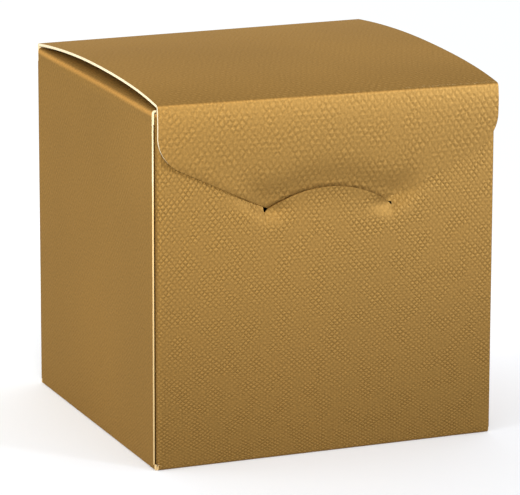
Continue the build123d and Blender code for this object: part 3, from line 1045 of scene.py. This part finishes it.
for side, way in sides.items():
    outward = way["outward"]
    surface, folds = bottomDustSurface(way["along"], outward)
    base = float(folds.max())
    outline = dustOutline(bottomDust, 0, base, way["mirror"])
    far = base + bottomDust["length"]
    piece = cutBoard(
        side + "_bottom_dust_card", [outline],
        (dustLines, np.concatenate([folds, np.arange(base + 1, far, sleeve["grid"])])),
        surface, (0, 0, -1), goldSide, (way["grain"][1], 0))
    body = "bottom_" + side + "_dust_flap"
    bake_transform(piece)
    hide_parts(body)

# the film of glue behind the glue flap is kept as it was constructed
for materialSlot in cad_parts["seam_glue"].material_slots:
    materialSlot.material = glueFilm
print("box built")


# Floor, light and camera

floorLook = {"size": 6000.0, "drop": 0.03, "colour": "#E9ECF0", "roughness": 0.9, "fill": 0.16}


def makeFloor():
    # pale paper sweep: seen as white by the camera, while the shadow under the box stays
    material, tree = newMaterial("paleFloor")
    ray = addNode(tree, "ShaderNodeLightPath").outputs
    seen = ray["Is Camera Ray"]
    for other in ("Is Glossy Ray", "Is Transmission Ray"):
        seen = addNode(tree, "ShaderNodeMath", {0: seen, 1: ray[other]}, operation="MAXIMUM")
    fill = addNode(tree, "ShaderNodeMath", {0: seen, 1: floorLook["fill"]}, operation="MULTIPLY")
    shader = addNode(
        tree, "ShaderNodeBsdfPrincipled",
        {"Base Color": linear(floorLook["colour"]), "Roughness": floorLook["roughness"],
         "Specular IOR Level": 0.0, "Emission Color": (1, 1, 1, 1), "Emission Strength": fill})
    below = addNode(tree, "ShaderNodeNewGeometry").outputs["Backfacing"]
    through = addNode(tree, "ShaderNodeBsdfTransparent")
    mixed = addNode(tree, "ShaderNodeMixShader", {0: below, 1: shader, 2: through})
    addNode(tree, "ShaderNodeOutputMaterial", {"Surface": mixed})
    half = floorLook["size"] / 2 * mm
    z = -floorLook["drop"] * mm
    mesh = bpy.data.meshes.new("floor")
    corners = [(-half, -half, z), (half, -half, z), (half, half, z), (-half, half, z)]
    mesh.from_pydata(corners, [], [(0, 1, 2, 3)])
    material.cycles.emission_sampling = "NONE"  # so that reflections get all of the fill
    mesh.materials.append(material)
    floor = addObject("floor", mesh)


makeFloor()

world = bpy.data.worlds.new("studio")
scene.world = world
world.use_nodes = True
world.cycles.sampling_method = "NONE"  # so that reflections get all of the white
worldTree = world.node_tree
worldTree.nodes.clear()
sky = addNode(worldTree, "ShaderNodeBackground", {"Color": (1, 1, 1, 1), "Strength": 1.0})
addNode(worldTree, "ShaderNodeOutputWorld", {"Surface": sky})

lamps = {  # left and right light the front, side and edge the left wall
    "left": {"at": (-200, -420, 200), "aim": (-80, -38, 95), "size": (160, 60), "spread": 24,
             "power": 0.076, "colour": (1.0, 0.95, 0.8)},
    "right": {"at": (330, -380, 200), "aim": (80, -38, 95), "size": (160, 60), "spread": 24,
              "power": 0.087, "colour": (1.0, 1.08, 1.25)},
    "side": {"at": (-500, 200, 250), "aim": (-40, 0, 50), "size": (300, 300), "spread": 60,
             "power": 0.055},
    "edge": {"at": (-450, -200, 150), "aim": (-40, -34, 60), "size": (60, 300), "spread": 16,
             "power": 0.022},
}
for name, lamp in lamps.items():
    light = bpy.data.lights.new(name, "AREA")
    light.shape = "RECTANGLE"
    light.size, light.size_y = (side * mm for side in lamp["size"])
    light.spread = math.radians(lamp["spread"])
    light.energy = lamp["power"]
    light.color = lamp.get("colour", (1, 1, 1))
    holder = addObject(name, light)
    holder.location = Vector(lamp["at"]) * mm
    aim = Vector(lamp["aim"]) * mm - holder.location
    holder.rotation_euler = aim.to_track_quat("-Z", "Y").to_euler()

view = {"azimuth": 22.317, "elevation": 14.158, "roll": -0.138, "distance": 911.34,
        "target": (-0.21, 0.08, 37.51), "lens": 278.6}
yaw, pitch = math.radians(view["azimuth"]), math.radians(view["elevation"])
forward = Vector((math.sin(yaw) * math.cos(pitch), math.cos(yaw) * math.cos(pitch), -math.sin(pitch)))
camera = bpy.data.cameras.new("camera")
camera.lens = view["lens"]
camera.sensor_fit = "HORIZONTAL"
camera.clip_start = 0.01
cameraHolder = addObject("camera", camera)
turn = forward.to_track_quat("-Z", "Y").to_matrix() @ Matrix.Rotation(math.radians(-view["roll"]), 3, "Z")
standpoint = (Vector(view["target"]) - forward * view["distance"]) * mm
cameraHolder.matrix_world = Matrix.Translation(standpoint) @ turn.to_4x4()
scene.camera = cameraHolder
scene.view_settings.view_transform = "Standard"
print("floor, light and camera set")
